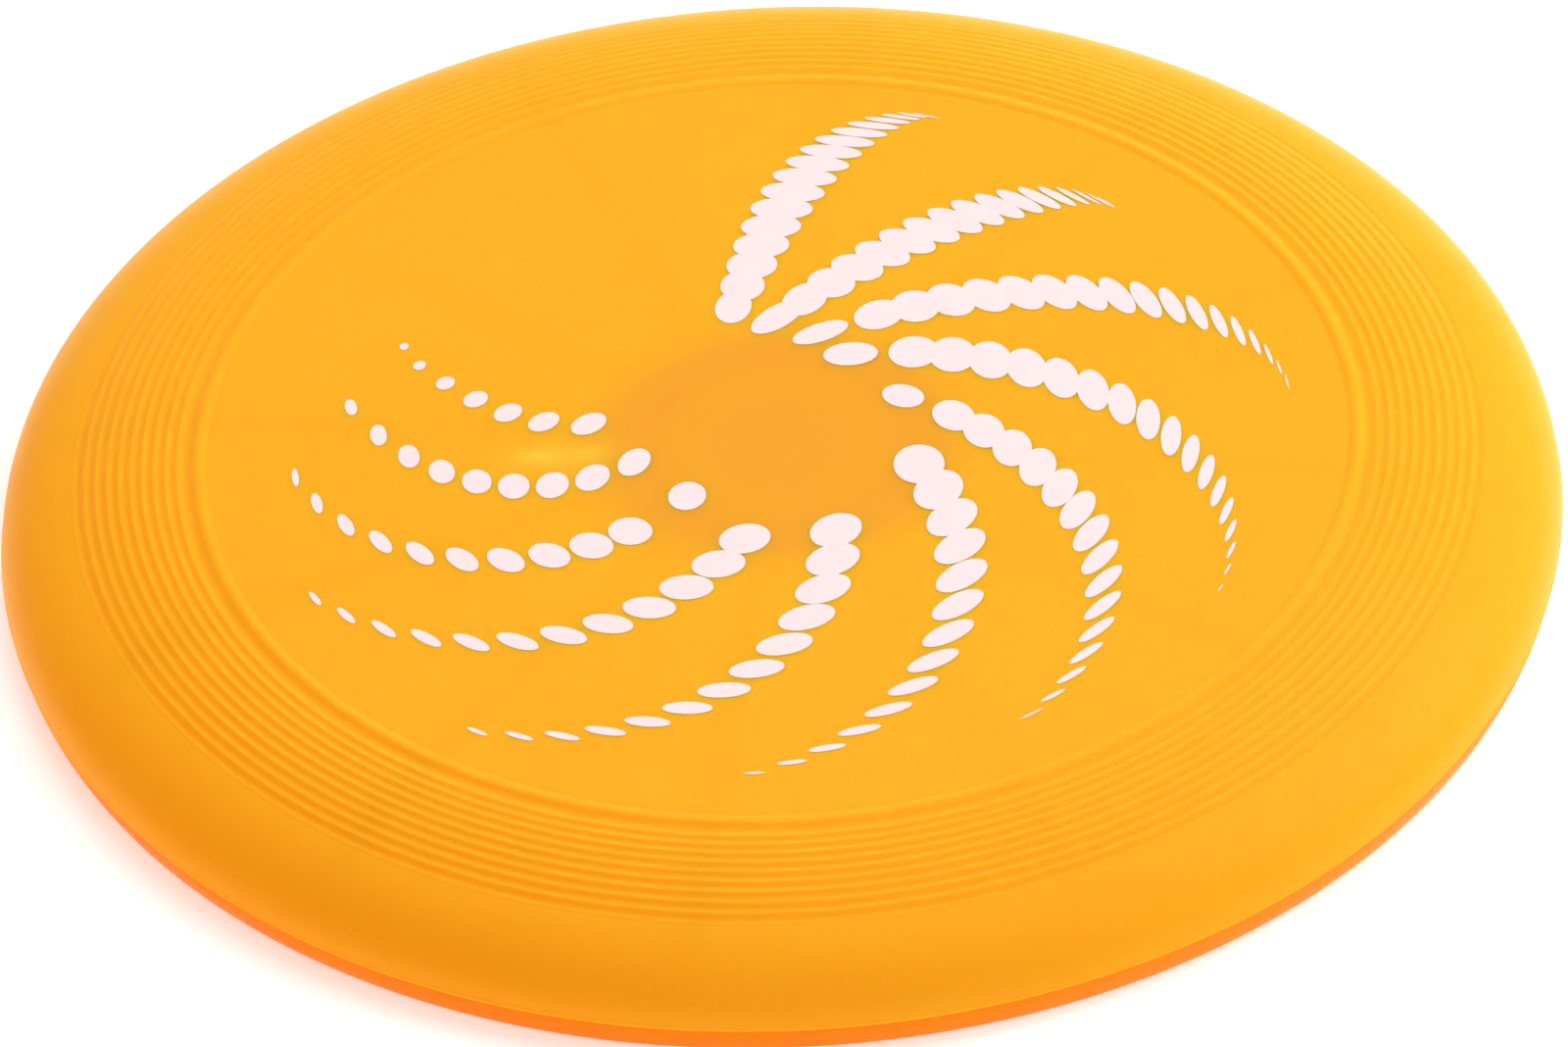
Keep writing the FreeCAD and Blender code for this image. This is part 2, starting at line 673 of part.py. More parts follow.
cb = NUMBER["board_bottom"]
ct = NUMBER["cell_top"]
xo = NUMBER["cell_offset"]
base_strip = [(xo - 5.5, cb - 0.2), (xo - 1.5, cb - 0.2), (xo - 1.5, cb), (xo - 5.5, cb)]
arm_strip = [(xo - 2.6, cb - 0.2), (xo - 1.5, cb - 0.1), (xo + 3.0, ct + 0.2),
             (xo + 4.6, ct + 0.5), (xo + 4.7, ct + 0.3), (xo + 3.0, ct),
             (xo + 2.2, ct)]
springs = []
for turn, tag in ((0, "right"), (180, "left")):
    springs.append(fuse("spring_" + tag, [
        strip("spring_base_" + tag, base_strip, 4.0, turn),
        strip("spring_arm_" + tag, arm_strip, 4.0, turn)]))
keep(group("spring_group", springs), "board_contact_springs")

# ====================================================== battery_bridge_plate
# Sprung strip in the cover: a ring round the button collar and two arms that
# press up on the cells.
cf = NUMBER["cover_floor"]
arm = [(8.2, cf), (10.2, cf), (xo + 1.2, NUMBER["cell_bottom"] - 0.24),
       (xo + 3.0, NUMBER["cell_bottom"] - 0.62), (xo + 3.0, NUMBER["cell_bottom"] - 0.40),
       (xo + 1.2, NUMBER["cell_bottom"] - 0.02), (xo + 0.4, NUMBER["cell_bottom"] - 0.02),
       (10.1, cf + 0.2), (8.2, cf + 0.2)]
bridge_ring = cut("bridge_ring",
                  cylinder("bridge_disc", size("collar_radius") + 2.6,
                           size("cover_floor"), size("cover_floor") + 0.2),
                  cylinder("bridge_hole", size("collar_radius") + 0.2,
                           size("cover_floor") - 1.0, size("cover_floor") + 1.0))
keep(fuse("bridge_fuse", [bridge_ring, strip("bridge_arm_right", arm, 5.0, 0),
                          strip("bridge_arm_left", arm, 5.0, 180)]),
     "battery_bridge_plate")

# =============================================================== tact switch
switch_side = size("switch_side")
keep(cut("switch_block",
         box("switch_blank", switch_side, switch_side, size("switch_bottom"),
             size("board_bottom")),
         cylinder("switch_hole", size("plunger_radius") + 0.06,
                  size("switch_bottom") - 1.0, size("plunger_top") + 0.45)),
     "switch_body")
keep(cut("frame_plate",
         box("frame_blank", switch_side - 0.2, switch_side - 0.2,
             size("switch_bottom") - 0.2, size("switch_bottom")),
         cylinder("frame_hole", size("plunger_radius") + 0.15,
                  size("switch_bottom") - 1.0, size("switch_bottom") + 1.0)),
     "switch_frame")
keep(cylinder("plunger_pin", size("plunger_radius"), size("plunger_bottom"),
              size("plunger_top")), "switch_plunger")

# ================================================================= hub_cover
cover = new_body("hub_cover")
sk = new_sketch(cover, "cover_profile", "XZ_Plane")
draw_loop(sk, [
    (size("button_bore"), size("cover_bottom")),
    (size("hub_radius") - 1.4, size("cover_bottom")),
    (size("hub_radius") - 0.41, size("cover_bottom") + 0.41),
    (size("hub_radius"), size("cover_bottom") + 1.4),
    (size("hub_radius"), size("cover_rim_top")),
    (size("hub_inner") + 0.2, size("cover_rim_top")),
    (size("hub_inner") + 0.2, size("cover_floor")),
    (size("collar_radius"), size("cover_floor")),
    (size("collar_radius"), size("collar_top")),
    (size("flange_bore"), size("collar_top")),
    (size("flange_bore"), size("flange_seat")),
    (size("button_bore"), size("flange_seat")),
])
revolve(cover, "cover_revolution", sk)
sk = new_sketch(cover, "cover_boss_circles", "XY_Plane", size("cover_floor") - 0.3)
for x, y in SCREW_SPOTS:
    draw_circle(sk, x, y, size("boss_radius"))
extrude(cover, "cover_bosses", sk, size("cover_boss_top") - size("cover_floor") + 0.3)
sk = new_sketch(cover, "peg_circles", "XY_Plane", size("cover_floor") - 0.3)
for side in (-1.0, 1.0):
    for along in (-4.25, 4.25):
        for across in (-7.36, 7.36):
            draw_circle(sk, side * (size("cell_offset") + along), plain(across),
                        size("peg_radius"))
extrude(cover, "cell_pegs", sk, size("peg_top") - size("cover_floor") + 0.3)
doc.recompute()
volume = cover.Shape.Volume
sk = new_sketch(cover, "screw_circles", "XY_Plane", size("cover_bottom") - 0.5)
for x, y in SCREW_SPOTS:
    draw_circle(sk, x, y, size("screw_clear_radius"))
extrude(cover, "screw_holes", sk, plain(5.0), cut=True, reverse=True)
volume = cut_check(cover, "screw_holes", volume)
sk = new_sketch(cover, "counterbore_circles", "XY_Plane", size("counterbore_top"))
for x, y in SCREW_SPOTS:
    draw_circle(sk, x, y, size("counterbore_radius"))
extrude(cover, "counterbores", sk, plain(3.0), cut=True)
volume = cut_check(cover, "counterbores", volume)

# ============================================================== cover_screws
# Four pan-head screws with cross recesses; threads are plain cylinders.
screws = []
for k, (x, y) in enumerate(SCREW_SPOTS):
    head = cylinder("screw_head", size("head_radius"), size("head_bottom"),
                    size("head_top"), x, y)
    shank = cylinder("screw_shank", size("screw_radius"), size("head_top") - 0.2,
                     size("screw_top"), x, y)
    slot_a = box("slot_a", 2.2, 0.5, size("head_bottom") - 0.5,
                 size("head_bottom") + 0.7, x, y)
    slot_b = box("slot_b", 0.5, 2.2, size("head_bottom") - 0.5,
                 size("head_bottom") + 0.7, x, y)
    screws.append(cut("screw_%d" % k, fuse("screw_blank", [head, shank]),
                      fuse("screw_recess", [slot_a, slot_b])))
keep(group("screw_group", screws), "cover_screws")

# =============================================================== push_button
button = new_body("push_button")
sk = new_sketch(button, "button_profile", "XZ_Plane")
draw_loop(sk, [
    (0.0, size("button_face") + 0.25), (size("button_radius") - 1.6, size("button_face") + 0.2),
    (size("button_radius") - 1.1, size("button_face")),
    (size("button_radius") - 0.35, size("button_face") + 0.05),
    (size("button_radius"), size("button_face") + 0.4),
    (size("button_radius"), size("flange_seat") + 0.02),
    (size("flange_radius"), size("flange_seat") + 0.02),
    (size("flange_radius"), size("flange_top")),
    (size("stem_radius"), size("flange_top")),
    (size("stem_radius"), size("stem_top")), (0.0, size("stem_top")),
])
revolve(button, "button_revolution", sk)

# =========================================================== button_retainer
keep(cut("retainer_ring",
         cylinder("retainer_disc", size("flange_bore"), size("retainer_bottom"),
                  size("collar_top")),
         cylinder("retainer_hole", size("retainer_inner"),
                  size("retainer_bottom") - 1.0, size("collar_top") + 1.0)),
     "button_retainer")

# ============================================================= printed_swirl
# White ink on the plate: eleven curved arms of elliptical dots that shrink
# outwards.  Each arm is smooth polynomials of the place along it, 0 to 1: the
# dot's x and y, its half-axes across and along the arm, and its turn in degrees.
ARMS = [
    (18, 1.0,
     (-10.14, 14.09, -9.02, 55.7, -36.62),
     (31.04, 86.01, -12.59, -39.92, 12.71),
     (2.674, 11.58, -19.46, 12.74, -6.933),
     (3.746, -4.83, 3.395, -6.947, 4.743),
     (-3.73, 263.7, -1689, 3932, -3935, 1419)),
    (17, 1.0,
     (-3.357, 57.55, -10.94, 14.48, -15.45),
     (29.2, 70.77, -27.77, -24.73, 11.37),
     (2.342, 12.12, -16.6, 3.354, 0.599),
     (4.936, -16.96, 43.82, -58.7, 27.12),
     (-39.41, 277, -1225, 2160, -1735, 525.4)),
    (18, 1.6,
     (6.412, 86.16, 14.07, -39.88, 6.517),
     (27.91, 50.86, -69.03, 5.985, 3.465),
     (2.511, 13.02, -25.17, 21.26, -10.85),
     (4.237, -6.889, 7.028, -9.449, 5.208),
     (-53.87, 82.37, -105.6, -563.4, 1090, -523.1)),
    (18, 1.6,
     (11.85, 98.11, 12.44, -78.25, 24.23),
     (21.97, 13.5, -106.3, 41.98, 0.371),
     (3.049, 10.63, -19.71, 12.12, -5.6),
     (3.937, -3.351, -6.179, 8.807, -3.14),
     (-78.35, 36.77, 211.4, -1383, 1944, -839.1)),
    (16, 1.6,
     (20.18, 74.26, 5.661, -96.05, 39.85),
     (10.87, -36.06, -62.28, 15.43, 13.47),
     (3.43, 4.411, -1.381, -7.403, 2.462),
     (2.747, 4.634, -25.06, 29.78, -11.92),
     (-35.67, -325.8, 567.8, -588.7, 297.2, -53.31)),
    (14, 1.0,
     (21.29, 50.39, -64.25, -18.3, 16.06),
     (-3.217, -70.38, -53.18, 63.02, -10.69),
     (4.456, 2.606, -6.474, 2.67, -1.699),
     (3.749, -3.341, -3.715, 6.308, -2.753),
     (-80.78, -429.5, 1654, -3368, 3145, -1093)),
    (13, 1.0,
     (10.81, 9.41, -70.63, -1.749, 16),
     (-19.08, -78.62, -22.34, 71.84, -19.63),
     (4.165, 3.026, -11.19, 10.79, -5.03),
     (3.459, -2.127, -6.355, 8.409, -2.972),
     (-127.2, -108.5, 58.74, -36.57, 14.68, -7.051)),
    (12, 1.0,
     (-2.314, -29.45, -59.55, 12.08, 15.73),
     (-21.88, -66.95, 4.831, 78.01, -33.55),
     (3.876, 1.707, -6.969, 5.751, -2.612),
     (3.279, -1.95, -6.178, 8.733, -3.386),
     (-150.5, -159.2, 294.6, -549.1, 516.7, -188.7)),
    (11, 1.8,
     (-14.76, -40.26, -50.65, 35.33, 0.437),
     (-16.81, -48.5, 33.33, 35.15, -15.42),
     (3.247, 0.331, 1.173, -5.212, 2.514),
     (3.05, 1.861, -17.95, 23.49, -9.932),
     (-42.31, 409.2, -2354, 5055, -4880, 1734)),
    (9, 1.0,
     (-20.56, -45.45, -1.245, 4.078, -0.577),
     (-5.538, -39.74, 71.36, -40.53, 18.79),
     (3.254, -0.367, -5.101, 11.7, -7.597),
     (2.234, 1.246, -2.048, -2.443, 1.907),
     (-106.9, -156.4, 1321, -2639, 2026, -520)),
    (7, 1.0,
     (-28.28, -45.69, 42.79, -56.42, 29.95),
     (2.78, -6.175, 44.29, -32.69, 10.61),
     (2.97, -3.663, 10.18, -17.88, 9.217),
     (2.061, -2.068, 8.438, -15.94, 8.178),
     (-132.1, -27.63, 219.5, -466.2, 468.3, -159.5)),
]


def swirl_dots(arm):
    """(x, y, half-axis across the arm, half-axis along it, turn) of each dot."""
    count, first_gap = arm[0], arm[1]
    dots = []
    for i in range(count):
        part = (i if i else 1.0 - first_gap) / (count - 1.0)
        dots.append([sum(c * part ** p for p, c in enumerate(poly))
                     for poly in arm[2:]])
    return dots


solids = []
for arm_data in ARMS:
    arm_shapes = []
    for x, y, long_half, short_half, turn in swirl_dots(arm_data):
        if long_half < short_half:
            long_half, short_half, turn = short_half, long_half, turn + 90.0
        long_half, short_half = max(long_half, 0.3), max(short_half, 0.22)
        ellipse = Part.Ellipse(Vector(0, 0, 0), long_half, short_half)
        face = Part.Face(Part.Wire([ellipse.toShape()]))
        dot = face.extrude(Vector(0, 0, NUMBER["ink_thickness"]))
        dot.rotate(Vector(0, 0, 0), Vector(0, 0, 1), turn)
        dot.translate(Vector(x, y, NUMBER["plate_top"]))
        arm_shapes.append(dot)
    joined = arm_shapes[0].multiFuse(arm_shapes[1:])
    solids.extend(joined.Solids)
if solids:
    swirl = doc.addObject("Part::Feature", "printed_swirl")
    swirl.Shape = Part.makeCompound(solids)
    keep(swirl, "printed_swirl")

# ==================================================================== output
doc.recompute()
for obj in doc.Objects:
    if "Invalid" in obj.State or "Error" in obj.State:
        raise RuntimeError("%s (%s) is in state %s" % (obj.Name, obj.Label, obj.State))
for node in NODES:
    shape = node.Shape
    if shape is None or shape.isNull() or not shape.isValid():
        raise RuntimeError("bad shape: " + node.Label)
    if not shape.Solids:
        raise RuntimeError("no solid in " + node.Label)
for node in NODES:
    node.Shape.exportStep(os.path.join("parts", node.Label + ".step"))
    bb = node.Shape.BoundBox
    print("%-24s solids %3d  volume %10.2f  z %.2f..%.2f  r %.2f" % (
        node.Label, len(node.Shape.Solids), node.Shape.Volume, bb.ZMin, bb.ZMax, bb.XMax))
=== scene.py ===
import json
import math

import bmesh
import bpy
import numpy as np
from mathutils import Matrix, Vector
from mathutils.geometry import delaunay_2d_cdt

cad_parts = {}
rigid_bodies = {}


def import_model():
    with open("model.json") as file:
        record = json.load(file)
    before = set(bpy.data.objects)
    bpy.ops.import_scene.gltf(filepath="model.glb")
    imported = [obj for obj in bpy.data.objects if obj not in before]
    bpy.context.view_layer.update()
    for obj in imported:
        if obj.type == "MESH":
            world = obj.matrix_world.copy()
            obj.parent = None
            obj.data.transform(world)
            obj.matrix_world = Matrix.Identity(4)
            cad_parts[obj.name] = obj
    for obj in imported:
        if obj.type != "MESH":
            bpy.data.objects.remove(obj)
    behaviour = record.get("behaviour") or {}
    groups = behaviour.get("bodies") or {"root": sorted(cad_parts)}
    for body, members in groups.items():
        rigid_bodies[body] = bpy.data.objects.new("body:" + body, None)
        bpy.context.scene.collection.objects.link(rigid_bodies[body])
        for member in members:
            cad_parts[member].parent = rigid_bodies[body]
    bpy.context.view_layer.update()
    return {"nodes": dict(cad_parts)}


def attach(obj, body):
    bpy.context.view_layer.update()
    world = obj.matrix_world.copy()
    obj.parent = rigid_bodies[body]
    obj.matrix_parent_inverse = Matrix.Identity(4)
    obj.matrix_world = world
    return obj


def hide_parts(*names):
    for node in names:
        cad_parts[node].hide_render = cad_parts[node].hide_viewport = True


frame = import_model()
MM = 0.001
scene = bpy.context.scene
COL = scene.collection

# ------------------------------------------------------------------ geometry
PLATE = 19.6            # top of the flat plate, mm above the rim's resting ring
UNDER = 17.5            # underside of the plate
R_MAX = 115.0
RIBS = 12


def link(name, mesh, smooth=True):
    obj = bpy.data.objects.new(name, mesh)
    COL.objects.link(obj)
    if smooth:
        for poly in mesh.polygons:
            poly.use_smooth = True
    return obj


def crest_z(k):
    run = 1.7297 * k
    return PLATE - 0.15 - 0.0512 * run - 0.011357 * run * run


def bezier(p0, p1, p2, p3, n):
    out = []
    for i in range(1, n + 1):
        t = i / n
        a = (1 - t) ** 3
        b = 3 * (1 - t) ** 2 * t
        c = 3 * (1 - t) * t * t
        d = t ** 3
        out.append((a * p0[0] + b * p1[0] + c * p2[0] + d * p3[0],
                    a * p0[1] + b * p1[1] + c * p2[1] + d * p3[1]))
    return out


def top_profile():
    """Outer skin from the plate's centre out to the resting ring, (r, z) in mm."""
    pts = [(r, PLATE) for r in np.linspace(1.5, 82.5, 55)]
    # raised bead with a soft foot on its inner side
    pts += [(83.3, PLATE), (83.7, PLATE - 0.02), (83.95, PLATE - 0.03),
            (84.15, PLATE + 0.02), (84.4, PLATE + 0.11), (84.7, PLATE + 0.19),
            (85.05, PLATE + 0.23), (85.4, PLATE + 0.205), (85.7, PLATE + 0.13),
            (85.95, PLATE + 0.03), (86.2, PLATE - 0.10), (86.45, PLATE - 0.22),
            (86.75, PLATE - 0.30), (87.1, PLATE - 0.33), (87.45, PLATE - 0.31),
            (87.75, PLATE - 0.26), (88.0, PLATE - 0.20)]
    count, pitch, first = 10, 1.7297, 88.32
    for k in range(count):
        here = crest_z(k)
        r = first + pitch * k
        slope = -(0.0512 + 2 * 0.011357 * pitch * k)
        # rounded crest
        for d, h in ((-0.17, -0.045), (0.0, 0.0), (0.17, -0.045)):
            pts.append((r + d, here + d * slope + h))
        if k < count - 1:
            nxt = crest_z(k + 1)
            for f, h in ((0.22, 0.11), (0.35, 0.185), (0.5, 0.215), (0.65, 0.185), (0.78, 0.11)):
                pts.append((r + pitch * f, here + (nxt - here) * f - h))
    # smooth shoulder from the last ring to the widest line
    x, z = first + pitch * (count - 1), crest_z(count - 1)
    pts += bezier((x + 0.17, z - 0.09), (108.5, 14.75), (R_MAX - 0.14, 11.6),
                  (R_MAX - 0.14, 5.55), 26)
    # the crease, then the tucked lower lip
    pts += [(R_MAX - 0.10, 5.36), (R_MAX - 0.03, 5.22), (R_MAX, 5.08), (R_MAX - 0.04, 4.94),
            (R_MAX - 0.18, 4.82), (R_MAX - 0.30, 4.70), (R_MAX - 0.33, 4.5)]
    pts += bezier((R_MAX - 0.33, 4.5), (R_MAX - 0.36, 3.3), (R_MAX - 0.8, 2.0),
                  (R_MAX - 1.45, 0.75), 9)
    pts += [(R_MAX - 1.62, 0.42), (R_MAX - 1.85, 0.17), (R_MAX - 2.2, 0.04),
            (R_MAX - 2.7, 0.0), (R_MAX - 3.4, 0.0)]
    return pts


def under_profile():
    """Inner skin from the resting ring back to the centre, (r, z) in mm."""
    pts = [(111.05, 0.0), (110.7, 0.06), (110.35, 0.28), (110.1, 0.7), (109.98, 1.2),
           (110.03, 1.9), (110.14, 2.6), (110.2, 3.6), (110.2, 5.0)]
    pts += bezier((110.2, 5.0), (110.2, 7.6), (109.8, 9.6), (108.0, 11.15), 10)
    pts += bezier((108.0, 11.15), (105.0, 13.2), (101.0, 14.6), (97.0, 15.75), 12)
    pts += bezier((97.0, 15.75), (93.0, 16.8), (89.0, 17.5), (84.0, UNDER), 12)
    pts += [(r, UNDER) for r in np.linspace(80.0, 28.6, 22)]
    pts += [(28.0, UNDER), (27.4, UNDER), (26.8, UNDER), (26.0, UNDER)]
    pts += [(r, UNDER) for r in np.linspace(22.0, 1.5, 8)]
    return pts


def guide_z(r):
    run = max(0.0, r - 83.0)
    return 16.55 - (59.55 - math.sqrt(59.55 ** 2 - run ** 2))


RIB_FLOOR = [(20.0, 15.2), (86.0, 15.2), (90.0, 14.85), (94.0, 14.2), (98.0, 13.25),
             (102.0, 12.0), (105.0, 10.9), (107.4, 9.6)]


def rib_floor(r):
    return float(np.interp(r, [p[0] for p in RIB_FLOOR], [p[1] for p in RIB_FLOOR]))


# across one 30 degree sector: distance from the rib's centre line (mm) and kind
EDGE_COLS = [(-2.05, 0), (-1.8, 1), (-0.88, 1), (-0.8, 2), (0.8, 2), (0.88, 1),
             (1.8, 1), (2.05, 0)]
FREE_COLS = 14


def column_angles(r):
    """Angles of all columns at radius r; rib columns keep their width in mm."""
    base = r if r > 12.0 else 12.0
    out = []
    step = 2 * math.pi / RIBS
    for s in range(RIBS):
        for d, kind in EDGE_COLS:
            out.append((s * step + math.asin(d / base), kind))
        a0 = math.asin(2.05 / base)
        a1 = step - a0
        for i in range(1, FREE_COLS + 1):
            out.append((s * step + a0 + (a1 - a0) * i / (FREE_COLS + 1), 0))
    return out


def build_shell():
    verts, faces = [], []
    top, low = top_profile(), under_profile()
    rings = []
    n = RIBS * (len(EDGE_COLS) + FREE_COLS)
    verts.append((0, 0, PLATE * MM))
    for r, z in top:
        start = len(verts)
        # the columns relax to even spacing towards the middle and on the rim
        for a, kind in column_angles(max(r, 27.0) if r < 100 else r):
            verts.append((r * math.cos(a) * MM, r * math.sin(a) * MM, z * MM))
        rings.append(start)
    top_count = len(rings)
    for r, z in low:
        start = len(verts)
        for a, kind in column_angles(max(r, 27.0)):
            zz = z
            if 27.0 <= r <= 108.3 and kind:
                floor = rib_floor(r)
                if r > 107.4:
                    floor = 9.6 + (r - 107.4) * 2.0
                if kind == 1:
                    zz = min(z, floor)
                elif r <= 107.3:
                    run = (max(83.0, r) - 83.0) / 59.55
                    roof = guide_z(r) + 0.80 + 0.75 * (1 / math.sqrt(1 - run * run) - 1)
                    zz = min(z, roof) if r > 27.0 else z
                else:
                    zz = min(z, floor)
            verts.append((r * math.cos(a) * MM, r * math.sin(a) * MM, zz * MM))
        rings.append(start)
    last = len(verts)
    verts.append((0, 0, UNDER * MM))
    for j in range(n):
        faces.append((0, rings[0] + j, rings[0] + (j + 1) % n))
    for i in range(len(rings) - 1):
        a, b = rings[i], rings[i + 1]
        for j in range(n):
            k = (j + 1) % n
            faces.append((a + j, b + j, b + k, a + k))
    e = rings[-1]
    for j in range(n):
        faces.append((last, e + (j + 1) % n, e + j))
    mesh = bpy.data.meshes.new("disc_shell_skin")
    mesh.from_pydata(verts, [], faces)
    mesh.update()
    obj = link("disc_shell_skin", mesh)
    bm = bmesh.new()
    bm.from_mesh(mesh)
    bmesh.ops.recalc_face_normals(bm, faces=bm.faces)
    # crisp rib and channel edges, smooth everywhere else
    for edge in bm.edges:
        if len(edge.link_faces) == 2 and edge.calc_face_angle(0.0) > math.radians(38):
            edge.smooth = False
    bm.to_mesh(mesh)
    bm.free()
    return obj


# ------------------------------------------------------------ printed pattern
ARMS = [
    (18, 1.0,
     (-10.14, 14.09, -9.02, 55.7, -36.62),
     (31.04, 86.01, -12.59, -39.92, 12.71),
     (2.674, 11.58, -19.46, 12.74, -6.933),
     (3.746, -4.83, 3.395, -6.947, 4.743),
     (-3.73, 263.7, -1689, 3932, -3935, 1419)),
    (17, 1.0,
     (-3.357, 57.55, -10.94, 14.48, -15.45),
     (29.2, 70.77, -27.77, -24.73, 11.37),
     (2.342, 12.12, -16.6, 3.354, 0.599),
     (4.936, -16.96, 43.82, -58.7, 27.12),
     (-39.41, 277, -1225, 2160, -1735, 525.4)),
    (18, 1.6,
     (6.412, 86.16, 14.07, -39.88, 6.517),
     (27.91, 50.86, -69.03, 5.985, 3.465),
     (2.511, 13.02, -25.17, 21.26, -10.85),
     (4.237, -6.889, 7.028, -9.449, 5.208),
     (-53.87, 82.37, -105.6, -563.4, 1090, -523.1)),
    (18, 1.6,
     (11.85, 98.11, 12.44, -78.25, 24.23),
     (21.97, 13.5, -106.3, 41.98, 0.371),
     (3.049, 10.63, -19.71, 12.12, -5.6),
     (3.937, -3.351, -6.179, 8.807, -3.14),
     (-78.35, 36.77, 211.4, -1383, 1944, -839.1)),
    (16, 1.6,
     (20.18, 74.26, 5.661, -96.05, 39.85),
     (10.87, -36.06, -62.28, 15.43, 13.47),
     (3.43, 4.411, -1.381, -7.403, 2.462),
     (2.747, 4.634, -25.06, 29.78, -11.92),
     (-35.67, -325.8, 567.8, -588.7, 297.2, -53.31)),
    (14, 1.0,
     (21.29, 50.39, -64.25, -18.3, 16.06),
     (-3.217, -70.38, -53.18, 63.02, -10.69),
     (4.456, 2.606, -6.474, 2.67, -1.699),
     (3.749, -3.341, -3.715, 6.308, -2.753),
     (-80.78, -429.5, 1654, -3368, 3145, -1093)),
    (13, 1.0,
     (10.81, 9.41, -70.63, -1.749, 16),
     (-19.08, -78.62, -22.34, 71.84, -19.63),
     (4.165, 3.026, -11.19, 10.79, -5.03),
     (3.459, -2.127, -6.355, 8.409, -2.972),
     (-127.2, -108.5, 58.74, -36.57, 14.68, -7.051)),
    (12, 1.0,
     (-2.314, -29.45, -59.55, 12.08, 15.73),
     (-21.88, -66.95, 4.831, 78.01, -33.55),
     (3.876, 1.707, -6.969, 5.751, -2.612),
     (3.279, -1.95, -6.178, 8.733, -3.386),
     (-150.5, -159.2, 294.6, -549.1, 516.7, -188.7)),
    (11, 1.8,
     (-14.76, -40.26, -50.65, 35.33, 0.437),
     (-16.81, -48.5, 33.33, 35.15, -15.42),
     (3.247, 0.331, 1.173, -5.212, 2.514),
     (3.05, 1.861, -17.95, 23.49, -9.932),
     (-42.31, 409.2, -2354, 5055, -4880, 1734)),
    (9, 1.0,
     (-20.56, -45.45, -1.245, 4.078, -0.577),
     (-5.538, -39.74, 71.36, -40.53, 18.79),
     (3.254, -0.367, -5.101, 11.7, -7.597),
     (2.234, 1.246, -2.048, -2.443, 1.907),
     (-106.9, -156.4, 1321, -2639, 2026, -520)),
    (7, 1.0,
     (-28.28, -45.69, 42.79, -56.42, 29.95),
     (2.78, -6.175, 44.29, -32.69, 10.61),
     (2.97, -3.663, 10.18, -17.88, 9.217),
     (2.061, -2.068, 8.438, -15.94, 8.178),
     (-132.1, -27.63, 219.5, -466.2, 468.3, -159.5)),
]


def swirl_dots(arm):
    count, first_gap = arm[0], arm[1]
    dots = []
    for i in range(count):
        part = (i if i else 1.0 - first_gap) / (count - 1.0)
        dots.append([sum(c * part ** p for p, c in enumerate(poly))
                     for poly in arm[2:]])
    return dots


# half length in mm of the last sliver of four arms, counted from the first arm
TIPS = {0: 1.5, 2: 1.75, 3: 0.95, 4: 2.1}


def build_print():
    """Thin ink pads: the outlines of one arm's dots are joined where they meet."""
    bm = bmesh.new()
    low, high = (PLATE + 0.004) * MM, (PLATE + 0.05) * MM
    for which, arm in enumerate(ARMS):
        pts, loops = [], []
        dots = swirl_dots(arm)
        for spot, (x, y, across, along, turn) in enumerate(dots):
            across, along = max(across, 0.12), max(along, 0.12)
            if spot == len(dots) - 1:
                across = max(across, TIPS.get(which, 0.0))
            t = math.radians(turn)
            c, s = math.cos(t), math.sin(t)
            start = len(pts)
            n = 56
            for i in range(n):
                a = 2 * math.pi * i / n
                u, v = across * math.cos(a), along * math.sin(a)
                pts.append(Vector((x + u * c - v * s, y + u * s + v * c)))
            loops.append(list(range(start, start + n)))
        out = delaunay_2d_cdt(pts, [], loops, 1, 1e-4)
        coords, tris = out[0], out[2]
        top = [bm.verts.new((p.x * MM, p.y * MM, high)) for p in coords]
        bottom = [bm.verts.new((p.x * MM, p.y * MM, low)) for p in coords]
        edges = {}
        for tri in tris:
            tri = list(tri)
            area = sum(coords[tri[i]].x * coords[tri[(i + 1) % len(tri)]].y -
                       coords[tri[(i + 1) % len(tri)]].x * coords[tri[i]].y
                       for i in range(len(tri)))
            if area < 0:
                tri.reverse()
            bm.faces.new([top[i] for i in tri])
            bm.faces.new([bottom[i] for i in reversed(tri)])
            for i in range(len(tri)):
                a, b = tri[i], tri[(i + 1) % len(tri)]
                if (b, a) in edges:
                    del edges[(b, a)]
                else:
                    edges[(a, b)] = True
        for a, b in edges:
            bm.faces.new([top[b], top[a], bottom[a], bottom[b]])
    loose = [v for v in bm.verts if not v.link_faces]
    bmesh.ops.delete(bm, geom=loose, context="VERTS")
    bmesh.ops.recalc_face_normals(bm, faces=bm.faces)
    mesh = bpy.data.meshes.new("printed_swirl_ink")
    bm.to_mesh(mesh)
    bm.free()
    return link("printed_swirl_ink", mesh, smooth=False)


